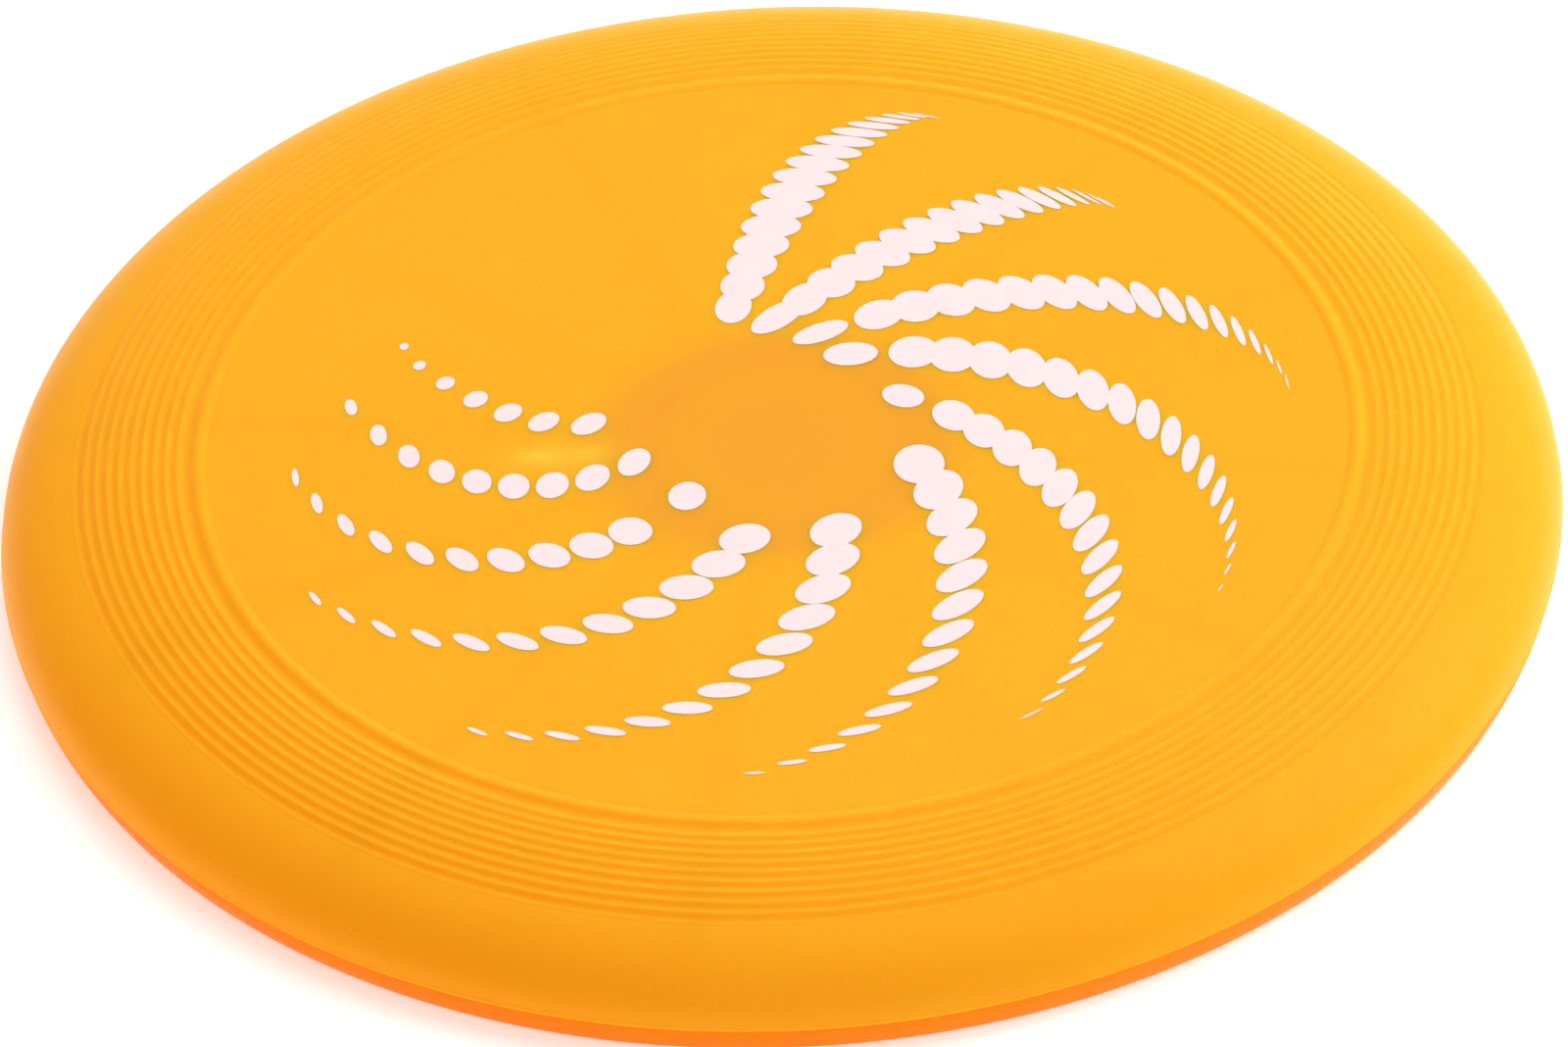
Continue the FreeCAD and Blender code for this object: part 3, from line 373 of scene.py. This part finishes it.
# ------------------------------------------------------------------ materials
class Nodes:
    """Small helper that adds shader nodes and joins them."""

    def __init__(self, name):
        self.mat = bpy.data.materials.new(name)
        self.mat.use_nodes = True
        self.tree = self.mat.node_tree
        self.tree.nodes.clear()
        self.out = self.add("ShaderNodeOutputMaterial")

    def add(self, kind, **props):
        node = self.tree.nodes.new(kind)
        for key, value in props.items():
            setattr(node, key, value)
        return node

    def wire(self, source, target):
        self.tree.links.new(source, target)

    def math(self, op, a, b=None, c=None, clamp=False):
        node = self.add("ShaderNodeMath", operation=op, use_clamp=clamp)
        for i, value in enumerate((a, b, c)):
            if value is None:
                continue
            if isinstance(value, (int, float)):
                node.inputs[i].default_value = value
            else:
                self.wire(value, node.inputs[i])
        return node.outputs[0]

    def ramp(self, fac, stops, interp="LINEAR"):
        node = self.add("ShaderNodeValToRGB")
        node.color_ramp.interpolation = interp
        items = node.color_ramp.elements
        while len(items) > 1:
            items.remove(items[-1])
        items[0].position = stops[0][0]
        items[0].color = tuple(stops[0][1]) + (1.0,)
        for pos, col in stops[1:]:
            item = items.new(pos)
            item.color = tuple(col) + (1.0,)
        self.wire(fac, node.inputs[0])
        return node.outputs[0]

    def mix(self, fac, a, b, blend="MIX"):
        node = self.add("ShaderNodeMix", data_type="RGBA", blend_type=blend)
        for socket, value in ((node.inputs[0], fac), (node.inputs[6], a), (node.inputs[7], b)):
            if isinstance(value, (int, float)):
                socket.default_value = value
            elif isinstance(value, tuple):
                socket.default_value = value if len(value) == 4 else value + (1.0,)
            else:
                self.wire(value, socket)
        return node.outputs[2]

    def noise(self, vector, scale, detail=2.0, rough=0.5):
        node = self.add("ShaderNodeTexNoise")
        node.inputs["Scale"].default_value = scale
        node.inputs["Detail"].default_value = detail
        node.inputs["Roughness"].default_value = rough
        self.wire(vector, node.inputs["Vector"])
        return node.outputs["Fac"]

    def position(self):
        return self.add("ShaderNodeTexCoord").outputs["Object"]


def srgb(r, g, b):
    out = []
    for v in (r, g, b):
        v = v / 255.0
        out.append(v / 12.92 if v <= 0.04045 else ((v + 0.055) / 1.055) ** 2.4)
    return tuple(out)


def shell_material():
    n = Nodes("translucent_orange")
    pos = n.position()
    sep = n.add("ShaderNodeSeparateXYZ")
    n.wire(pos, sep.inputs[0])
    x, y, z = sep.outputs
    rad = n.math("MULTIPLY", n.math("SQRT", n.math("ADD", n.math("MULTIPLY", x, x),
                                                   n.math("MULTIPLY", y, y))), 1000.0)
    ang = n.math("ARCTAN2", y, x)
    # painted shadow of the hub seen through the plate: a darker disc where the hub sits under it, with a soft
    # edge
    wobble = n.math("MULTIPLY", n.math("SUBTRACT", n.noise(pos, 60.0), 0.5), 1.6)
    radw = n.math("ADD", rad, wobble)
    hub = n.ramp(n.math("DIVIDE", radw, 40.0),
                 [(0.0, (0.88,) * 3), (0.20, (0.86,) * 3), (0.30, (0.72,) * 3),
                  (0.38, (0.74,) * 3), (0.48, (0.95,) * 3), (0.58, (0.88,) * 3),
                  (0.67, (0.40,) * 3), (0.76, (0.08,) * 3), (0.86, (0.0,) * 3)], "EASE")
    # painted shade: twelve faint darker bands where the ribs under the plate block the light through it
    turn = n.math("MULTIPLY", ang, RIBS / (2 * math.pi))
    near = n.math("ABSOLUTE", n.math("SUBTRACT", turn, n.math("ROUND", turn)))
    across = n.math("MULTIPLY", n.math("MULTIPLY", near, 2 * math.pi / RIBS), rad)
    rib_shade = n.math("SUBTRACT", 1.0, n.math("DIVIDE", across, 3.4, clamp=True))
    rib_shade = n.math("SMOOTH_MIN", rib_shade, 0.75, 0.2)
    rib_gate = n.ramp(n.math("DIVIDE", rad, 120.0),
                      [(0.20, (0.0,) * 3), (0.26, (1.0,) * 3), (0.90, (1.0,) * 3),
                       (0.94, (0.0,) * 3)])
    rib_shade = n.math("MULTIPLY", rib_shade, rib_gate)
    # painted glow: a pale lit patch beside the hub, where light shows through the plastic
    def spot(ax, ay, sx, sy, ang_deg):
        c, s = math.cos(math.radians(ang_deg)), math.sin(math.radians(ang_deg))
        dx = n.math("SUBTRACT", n.math("MULTIPLY", x, 1000.0), ax)
        dy = n.math("SUBTRACT", n.math("MULTIPLY", y, 1000.0), ay)
        u = n.math("DIVIDE", n.math("ADD", n.math("MULTIPLY", dx, c), n.math("MULTIPLY", dy, s)), sx)
        v = n.math("DIVIDE", n.math("SUBTRACT", n.math("MULTIPLY", dy, c), n.math("MULTIPLY", dx, s)), sy)
        q = n.math("ADD", n.math("MULTIPLY", u, u), n.math("MULTIPLY", v, v))
        return n.math("EXPONENT", n.math("MULTIPLY", q, -1.0))
    a = math.radians(188.4)
    painted_glow = n.math("MULTIPLY", spot(32.0 * math.cos(a), 32.0 * math.sin(a), 8.5, 3.2, 188.4), 0.45)
    painted_glow = n.math("ADD", painted_glow, n.math("MULTIPLY", spot(35.2 * math.cos(a), 35.2 * math.sin(a),
                                                       3.6, 1.7, 188.4), 0.8))
    painted_glow = n.math("ADD", painted_glow, n.math("MULTIPLY", spot(27.7 * math.cos(a), 27.7 * math.sin(a),
                                                       2.2, 1.4, 188.4), 0.55))
    # cloudy variation of the moulding
    cloud = n.noise(pos, 14.0, 3.0, 0.55)
    mottle = n.noise(pos, 90.0, 2.0, 0.5)
    base = n.mix(n.math("MULTIPLY", n.math("SUBTRACT", cloud, 0.35), 0.9, clamp=True),
                 srgb(238, 174, 26), srgb(240, 182, 34))
    base = n.mix(n.math("MULTIPLY", mottle, 0.10), base, srgb(244, 164, 16))
    base = n.mix(n.math("MULTIPLY", hub, 0.62), base, srgb(238, 151, 44))
    base = n.mix(n.math("MULTIPLY", rib_shade, 0.20), base, srgb(246, 160, 16))
    base = n.mix(n.math("MULTIPLY", painted_glow, 0.6, clamp=True), base, srgb(252, 206, 66))
    # painted shade in the grooves between the rings, and in the one beside the bead, so they read a little
    # deeper
    step = n.math("DIVIDE", n.math("SUBTRACT", rad, 88.32), 1.7297)
    part = n.math("SUBTRACT", step, n.math("FLOOR", step))
    wave = n.math("SINE", n.math("MULTIPLY", part, math.pi))
    wave = n.math("MULTIPLY", wave, wave)
    ring_gate = n.math("MULTIPLY", n.math("GREATER_THAN", step, 0.0),
                       n.math("LESS_THAN", step, 9.0))
    off = n.math("DIVIDE", n.math("SUBTRACT", rad, 87.1), 0.55)
    beside = n.math("EXPONENT", n.math("MULTIPLY", n.math("MULTIPLY", off, off), -1.0))
    groove_shade = n.math("ADD", n.math("MULTIPLY", wave, ring_gate), beside, clamp=True)
    base = n.mix(n.math("MULTIPLY", groove_shade, 0.32), base, srgb(240, 162, 14))
    # painted shade on the lower lip below the crease, deeper and redder; the outer wall is also thicker and
    # reads redder
    rim = n.ramp(n.math("DIVIDE", n.math("MULTIPLY", z, 1000.0), 20.0),
                 [(0.0, (1.0,) * 3), (0.232, (0.95,) * 3), (0.25, (0.12,) * 3),
                  (0.45, (0.09,) * 3), (0.75, (0.02,) * 3), (0.9, (0.0,) * 3)])
    base = n.mix(n.math("MULTIPLY", rim, 0.85), base, srgb(234, 124, 5))
    bsdf = n.add("ShaderNodeBsdfPrincipled")
    n.wire(base, bsdf.inputs["Base Color"])
    bsdf.inputs["Subsurface Weight"].default_value = 1.0
    bsdf.inputs["Subsurface Radius"].default_value = (1.0, 0.42, 0.12)
    bsdf.inputs["Subsurface Scale"].default_value = 0.0034
    bsdf.inputs["IOR"].default_value = 1.46
    rough = n.math("ADD", 0.36, n.math("MULTIPLY", n.math("SUBTRACT", mottle, 0.5), 0.12))
    n.wire(rough, bsdf.inputs["Roughness"])
    bsdf.inputs["Specular IOR Level"].default_value = 0.06
    fine = n.noise(pos, 2600.0, 2.0, 0.6)
    scuff = n.noise(pos, 420.0, 3.0, 0.6)
    bump = n.add("ShaderNodeBump")
    bump.inputs["Strength"].default_value = 0.10
    bump.inputs["Distance"].default_value = 0.00004
    n.wire(n.math("ADD", fine, n.math("MULTIPLY", scuff, 0.6)), bump.inputs["Height"])
    n.wire(bump.outputs[0], bsdf.inputs["Normal"])
    n.wire(bsdf.outputs[0], n.out.inputs[0])
    return n.mat


def ink_material():
    n = Nodes("white_pad_print")
    pos = n.position()
    tone = n.noise(pos, 220.0, 3.0, 0.6)
    base = n.mix(tone, srgb(246, 226, 228), srgb(249, 235, 236))
    bsdf = n.add("ShaderNodeBsdfPrincipled")
    n.wire(base, bsdf.inputs["Base Color"])
    bsdf.inputs["Roughness"].default_value = 0.42
    bsdf.inputs["Specular IOR Level"].default_value = 0.3
    bsdf.inputs["Subsurface Weight"].default_value = 0.15
    bsdf.inputs["Subsurface Radius"].default_value = (1.0, 0.6, 0.5)
    bsdf.inputs["Subsurface Scale"].default_value = 0.0006
    bump = n.add("ShaderNodeBump")
    bump.inputs["Strength"].default_value = 0.08
    bump.inputs["Distance"].default_value = 0.00003
    n.wire(n.noise(pos, 1800.0, 2.0, 0.6), bump.inputs["Height"])
    n.wire(bump.outputs[0], bsdf.inputs["Normal"])
    n.wire(bsdf.outputs[0], n.out.inputs[0])
    return n.mat


def plastic(name, col, dark, rough=0.45, grain=1500.0, depth=0.00005, strength=0.25,
            spec=0.4, metal=0.0, cloud=30.0):
    n = Nodes(name)
    pos = n.position()
    tone = n.noise(pos, cloud, 3.0, 0.6)
    speck = n.noise(pos, grain, 2.0, 0.6)
    base = n.mix(n.math("MULTIPLY", tone, 0.8), tuple(col), tuple(dark))
    bsdf = n.add("ShaderNodeBsdfPrincipled")
    n.wire(base, bsdf.inputs["Base Color"])
    bsdf.inputs["Metallic"].default_value = metal
    bsdf.inputs["Specular IOR Level"].default_value = spec
    n.wire(n.math("ADD", rough, n.math("MULTIPLY", n.math("SUBTRACT", speck, 0.5), 0.18)),
           bsdf.inputs["Roughness"])
    bump = n.add("ShaderNodeBump")
    bump.inputs["Strength"].default_value = strength
    bump.inputs["Distance"].default_value = depth
    n.wire(speck, bump.inputs["Height"])
    n.wire(bump.outputs[0], bsdf.inputs["Normal"])
    n.wire(bsdf.outputs[0], n.out.inputs[0])
    return n.mat


def clear(name, tint, rough=0.06):
    n = Nodes(name)
    pos = n.position()
    bsdf = n.add("ShaderNodeBsdfPrincipled")
    haze = n.noise(pos, 500.0, 2.0, 0.5)
    n.wire(n.mix(haze, tuple(tint), tuple(t * 0.95 for t in tint)), bsdf.inputs["Base Color"])
    bsdf.inputs["Transmission Weight"].default_value = 0.75
    bsdf.inputs["IOR"].default_value = 1.49
    n.wire(n.math("ADD", rough, n.math("MULTIPLY", haze, 0.08)), bsdf.inputs["Roughness"])
    n.wire(bsdf.outputs[0], n.out.inputs[0])
    return n.mat


# -------------------------------------------------------------------- pieces
shell = build_shell()
shell.data.materials.append(shell_material())
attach(shell, "disc")
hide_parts("disc_shell")

ink = build_print()
ink.data.materials.append(ink_material())
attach(ink, "disc")
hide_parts("printed_swirl")

WHITE = plastic("hub_white", srgb(236, 233, 226), srgb(222, 218, 209), 0.48)
LOOKS = {
    "light_guides": clear("clear_fibre", (0.90, 0.95, 0.97)),
    "light_guide_collar": plastic("diffuser_white", srgb(240, 240, 236), srgb(228, 228, 222), 0.4),
    "light_cone": clear("clear_acrylic", (0.93, 0.96, 0.98), 0.03),
    "hub_housing": WHITE,
    "hub_gasket": plastic("black_rubber", (0.02, 0.02, 0.022), (0.035, 0.035, 0.037), 0.7),
    "circuit_board": plastic("board_green", (0.01, 0.11, 0.035), (0.014, 0.15, 0.05), 0.35, 3000.0),
    "led": plastic("led_white", srgb(245, 236, 170), srgb(235, 222, 140), 0.3),
    "controller_chip": plastic("chip_black", (0.012, 0.012, 0.014), (0.02, 0.02, 0.022), 0.55),
    "chip_resistors": plastic("chip_ceramic", (0.02, 0.02, 0.025), (0.03, 0.03, 0.035), 0.4),
    "chip_capacitor": plastic("capacitor_tan", (0.32, 0.2, 0.09), (0.26, 0.16, 0.07), 0.4),
    "battery_tray": plastic("tray_black", (0.02, 0.02, 0.022), (0.03, 0.03, 0.032), 0.55),
    "board_contact_springs": plastic("spring_bronze", (0.72, 0.50, 0.22), (0.62, 0.42, 0.18), 0.3, metal=1.0),
    "battery_bridge_plate": plastic("nickel_strip", (0.62, 0.60, 0.56), (0.55, 0.53, 0.50), 0.32, metal=1.0),
    "coin_cell_cans": plastic("cell_steel", (0.66, 0.66, 0.65), (0.58, 0.58, 0.57), 0.28, metal=1.0),
    "coin_cell_caps": plastic("cap_steel", (0.60, 0.60, 0.60), (0.54, 0.54, 0.54), 0.3, metal=1.0),
    "coin_cell_seals": plastic("seal_blue", (0.02, 0.06, 0.2), (0.03, 0.07, 0.22), 0.4),
    "switch_body": plastic("switch_black", (0.015, 0.015, 0.017), (0.022, 0.022, 0.024), 0.5),
    "switch_frame": plastic("switch_steel", (0.68, 0.68, 0.67), (0.6, 0.6, 0.59), 0.3, metal=1.0),
    "switch_plunger": plastic("plunger_black", (0.02, 0.02, 0.022), (0.03, 0.03, 0.032), 0.45),
    "hub_cover": WHITE,
    "cover_screws": plastic("screw_zinc", (0.55, 0.55, 0.56), (0.48, 0.48, 0.49), 0.33, metal=1.0),
    "push_button": plastic("button_grey", srgb(120, 122, 126), srgb(104, 106, 110), 0.6),
    "button_retainer": WHITE,
}
for node, mat in LOOKS.items():
    obj = frame["nodes"][node]
    obj.data.materials.clear()
    obj.data.materials.append(mat)

# ------------------------------------------------------------- floor and light
floor_mesh = bpy.data.meshes.new("floor")
S = 6.0
floor_mesh.from_pydata([(-S, -S, -0.0002), (S, -S, -0.0002), (S, S, -0.0002), (-S, S, -0.0002)],
                       [], [(0, 1, 2, 3)])
floor = bpy.data.objects.new("floor", floor_mesh)
COL.objects.link(floor)
nf = Nodes("pale_floor")
fpos = nf.position()
fb = nf.add("ShaderNodeBsdfPrincipled")
nf.wire(nf.mix(nf.noise(fpos, 3.0), (0.93, 0.93, 0.93), (0.95, 0.95, 0.95)), fb.inputs["Base Color"])
fb.inputs["Roughness"].default_value = 0.9
fb.inputs["Specular IOR Level"].default_value = 0.1
fb.inputs["Emission Color"].default_value = (1.0, 1.0, 1.0, 1.0)
fb.inputs["Emission Strength"].default_value = 0.40
# the floor is solid from above and clear from below, so the underside can be looked at
side = nf.add("ShaderNodeNewGeometry")
clear_side = nf.add("ShaderNodeBsdfTransparent")
pick = nf.add("ShaderNodeMixShader")
nf.wire(side.outputs["Backfacing"], pick.inputs[0])
nf.wire(fb.outputs[0], pick.inputs[1])
nf.wire(clear_side.outputs[0], pick.inputs[2])
nf.wire(pick.outputs[0], nf.out.inputs[0])
floor_mesh.materials.append(nf.mat)

world = bpy.data.worlds.new("studio")
scene.world = world
world.use_nodes = True
wt = world.node_tree
back = wt.nodes["Background"]
back.inputs[0].default_value = (1.0, 1.0, 1.0, 1.0)
# soft surround, brighter from the right and the back, dimmer and warmer from the left
way = wt.nodes.new("ShaderNodeTexCoord")
lean = wt.nodes.new("ShaderNodeVectorMath")
lean.operation = "DOT_PRODUCT"
lean.inputs[1].default_value = (0.06, 0.10, 0.0)
wt.links.new(way.outputs["Generated"], lean.inputs[0])
level = wt.nodes.new("ShaderNodeMath")
level.operation = "ADD"
level.inputs[1].default_value = 0.645
wt.links.new(lean.outputs["Value"], level.inputs[0])
wt.links.new(level.outputs[0], back.inputs[1])
warm = wt.nodes.new("ShaderNodeVectorMath")
warm.operation = "DOT_PRODUCT"
warm.inputs[1].default_value = (-0.75, -0.35, 0.0)
wt.links.new(way.outputs["Generated"], warm.inputs[0])
tint = wt.nodes.new("ShaderNodeMix")
tint.data_type = "RGBA"
tint.clamp_factor = True
tint.inputs[6].default_value = (1.0, 1.0, 1.0, 1.0)
tint.inputs[7].default_value = (1.0, 0.42, 0.18, 1.0)
wt.links.new(warm.outputs["Value"], tint.inputs[0])
wt.links.new(tint.outputs[2], back.inputs[0])


def area(name, loc, target, size, power, color=(1, 1, 1)):
    data = bpy.data.lights.new(name, "AREA")
    data.shape = "RECTANGLE"
    data.size, data.size_y = size
    data.energy = power
    data.color = color
    obj = bpy.data.objects.new(name, data)
    COL.objects.link(obj)
    obj.location = loc
    direction = Vector(target) - Vector(loc)
    obj.rotation_euler = direction.to_track_quat("-Z", "Y").to_euler()
    return obj


# a warm card to the left and front lights the disc and not the floor
lit = bpy.data.collections.new("card_lit")
for part in list(scene.objects):
    if part.type == "MESH" and part != floor:
        lit.objects.link(part)
card = area("warm_card", (-1.0, -0.75, 0.16), (0, 0, 0.01), (1.0, 0.22), 2.4, (1.0, 0.14, 0.0))
card.light_linking.receiver_collection = lit
area("key_right", (1.0, 0.35, 0.9), (0, 0, 0.0), (0.9, 0.9), 8.4)
area("top_soft", (0.25, 0.6, 1.4), (0, 0, 0.0), (1.4, 1.4), 8.0)
area("front_fill", (0.3, -1.4, 0.9), (0, 0, 0.0), (1.2, 0.8), 1.2)

scene.view_settings.view_transform = "Standard"
scene.view_settings.look = "None"

# -------------------------------------------------------------------- camera
ELEV, AZIM, ROLL = math.radians(39.760), math.radians(8.503), math.radians(3.063)
DIST = 4.4155
FOCAL_PX = 30681.0
centre = Vector((0, 0, PLATE * MM))
toward = Vector((math.sin(AZIM) * math.cos(ELEV), -math.cos(AZIM) * math.cos(ELEV),
                 math.sin(ELEV)))
right0 = Vector((math.cos(AZIM), math.sin(AZIM), 0.0))
up0 = toward.cross(right0)
right = math.cos(ROLL) * right0 - math.sin(ROLL) * up0
up = math.sin(ROLL) * right0 + math.cos(ROLL) * up0
metres_per_px = DIST / FOCAL_PX
# the plate's centre sits a little left of and above the middle of the frame
offset = right * ((800.0 - 793.27) * metres_per_px) - up * ((534.0 - 452.95) * metres_per_px)
cam_data = bpy.data.cameras.new("camera")
cam_data.sensor_width = 36.0
cam_data.lens = FOCAL_PX / 1600.0 * 36.0
cam_data.clip_start = 0.05
cam_data.clip_end = 60.0
cam = bpy.data.objects.new("camera", cam_data)
COL.objects.link(cam)
rot = Matrix((right, up, toward)).transposed().to_4x4()
cam.matrix_world = Matrix.Translation(centre + offset + toward * DIST) @ rot
scene.camera = cam

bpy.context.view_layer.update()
